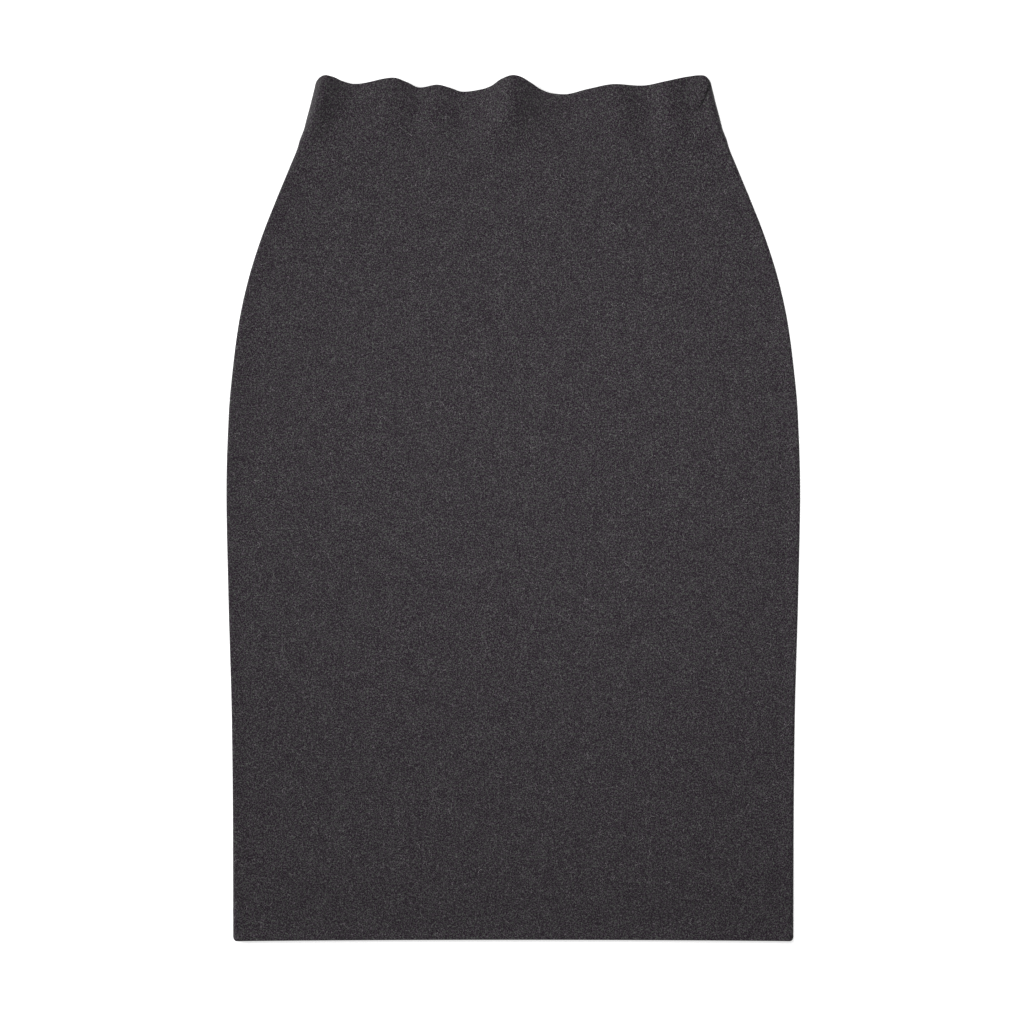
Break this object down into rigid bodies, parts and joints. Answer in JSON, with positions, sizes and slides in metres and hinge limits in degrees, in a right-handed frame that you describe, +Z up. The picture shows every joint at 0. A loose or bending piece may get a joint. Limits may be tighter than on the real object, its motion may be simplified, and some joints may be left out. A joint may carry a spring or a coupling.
{
  "type": "pencil skirt",
  "caption": "Pull-on pencil skirt in charcoal heathered knit, laid flat: front and back panels, a gathered turned-in waist and a turned-up hem.",
  "frame": {"origin": "on the surface that the skirt lies on, under the middle of its whole length and width", "axes": "+X across the skirt, +Y along it from the hem to the waist, +Z up from the surface to the front panel"},
  "size_m": [0.4414, 0.666, 0.0177],
  "materials": {
    "knit": "charcoal heathered double knit, matt with a short soft nap"
  },
  "bodies": {
    "root": {"front_panel": "knit", "back_panel": "knit"}
  },
  "joints": []
}
